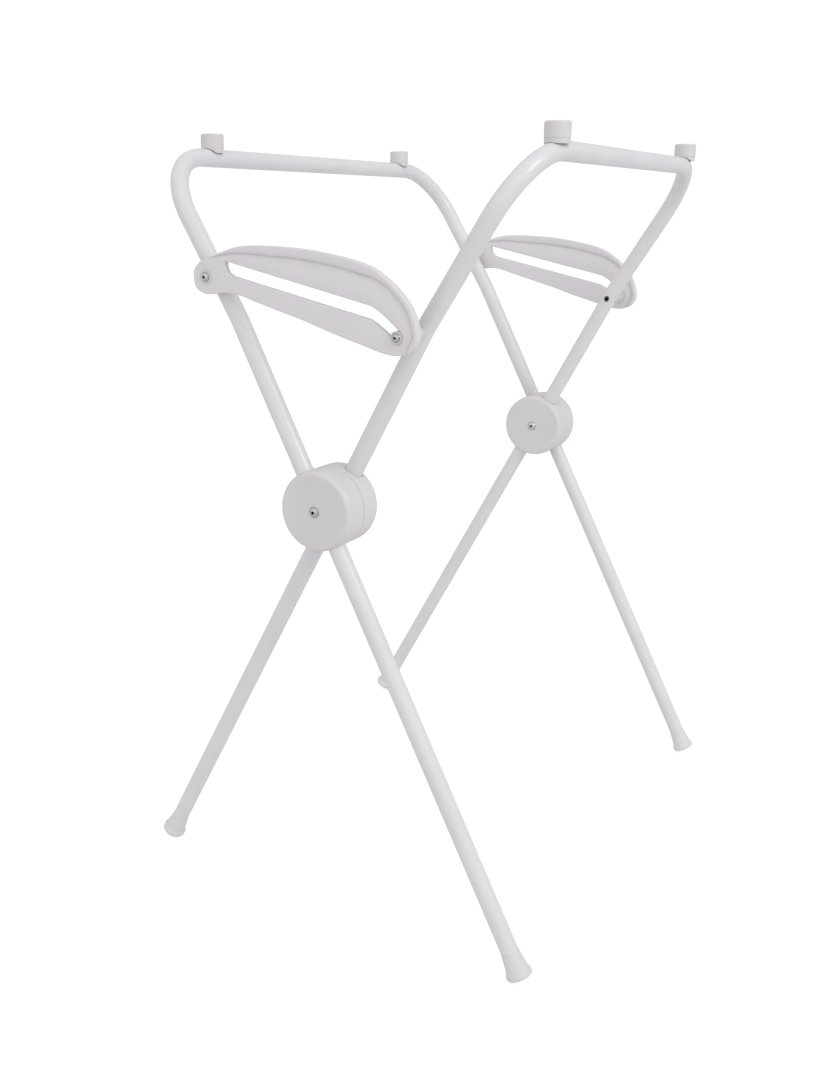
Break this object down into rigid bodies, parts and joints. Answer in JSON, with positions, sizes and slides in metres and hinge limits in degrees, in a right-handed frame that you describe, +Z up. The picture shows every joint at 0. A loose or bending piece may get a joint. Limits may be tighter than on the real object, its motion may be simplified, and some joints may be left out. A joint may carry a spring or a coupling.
{
  "type": "folding bath stand",
  "caption": "Folding X-frame stand of bent white tube with round pivot hubs, slotted spreader handles and upright pegs that hold a baby bath or carrycot.",
  "frame": {"origin": "on the floor, in the middle of the open stand's footprint", "axes": "+X across the fold, from the outer frame's bar towards the inner frame's bar; +Y along the bars, from front to rear; +Z up"},
  "size_m": [0.5272, 0.6796, 0.8748],
  "materials": {
    "frame_paint": "white gloss powder coat",
    "hub_plastic": "satin white moulded plastic",
    "spreader_plastic": "satin white moulded plastic",
    "peg_plastic": "fine-grained white moulded plastic",
    "foot_rubber": "pale grey-white rubber",
    "bearing_plastic": "natural nylon",
    "bright_steel": "bright nickel-plated steel",
    "zinc_steel": "zinc-plated steel"
  },
  "bodies": {
    "outer_frame": {"outer_frame_tube": "frame_paint", "front_outer_hub_shell": "hub_plastic", "rear_outer_hub_shell": "hub_plastic", "front_hub_axle": "bright_steel", "rear_hub_axle": "bright_steel", "front_hub_screw": "bright_steel", "rear_hub_screw": "bright_steel", "outer_front_peg": "peg_plastic", "outer_rear_peg": "peg_plastic", "outer_peg_screws": "bright_steel", "outer_front_foot_cap": "foot_rubber", "outer_rear_foot_cap": "foot_rubber", "front_pivot_spacer": "bearing_plastic", "rear_pivot_spacer": "bearing_plastic", "front_pivot_screw": "bright_steel", "rear_pivot_screw": "bright_steel", "pivot_rivet_nuts": "zinc_steel"},
    "inner_frame": {"inner_frame_tube": "frame_paint", "front_inner_hub_shell": "hub_plastic", "rear_inner_hub_shell": "hub_plastic", "front_friction_washer": "bearing_plastic", "rear_friction_washer": "bearing_plastic", "inner_front_peg": "peg_plastic", "inner_rear_peg": "peg_plastic", "inner_peg_screws": "bright_steel", "inner_front_foot_cap": "foot_rubber", "inner_rear_foot_cap": "foot_rubber", "front_slide_spacer": "bearing_plastic", "rear_slide_spacer": "bearing_plastic", "front_slide_washer": "bearing_plastic", "rear_slide_washer": "bearing_plastic", "front_slide_screw": "bright_steel", "rear_slide_screw": "bright_steel", "slide_rivet_nuts": "zinc_steel"},
    "front_spreader_arm": {"front_spreader": "spreader_plastic", "front_pivot_bush": "bearing_plastic"},
    "rear_spreader_arm": {"rear_spreader": "spreader_plastic", "rear_pivot_bush": "bearing_plastic"}
  },
  "joints": [
    {"name": "fold", "type": "hinge", "parent": "outer_frame", "child": "inner_frame", "pos_m": [0, 0, 0.483], "axis": [0, -1, 0], "range_deg": [0, 32]},
    {"name": "front_spreader_pivot", "type": "hinge", "parent": "outer_frame", "child": "front_spreader_arm", "pos_m": [-0.13051, -0.337, 0.723], "axis": [0, -1, 0], "range_deg": [-6.2, 0]},
    {"name": "rear_spreader_pivot", "type": "hinge", "parent": "outer_frame", "child": "rear_spreader_arm", "pos_m": [-0.13051, 0.337, 0.723], "axis": [0, -1, 0], "range_deg": [-6.2, 0]}
  ],
  "couplings": [
    {"joint": "front_spreader_pivot", "follows": "fold", "ratio": -0.19},
    {"joint": "rear_spreader_pivot", "follows": "fold", "ratio": -0.19}
  ]
}
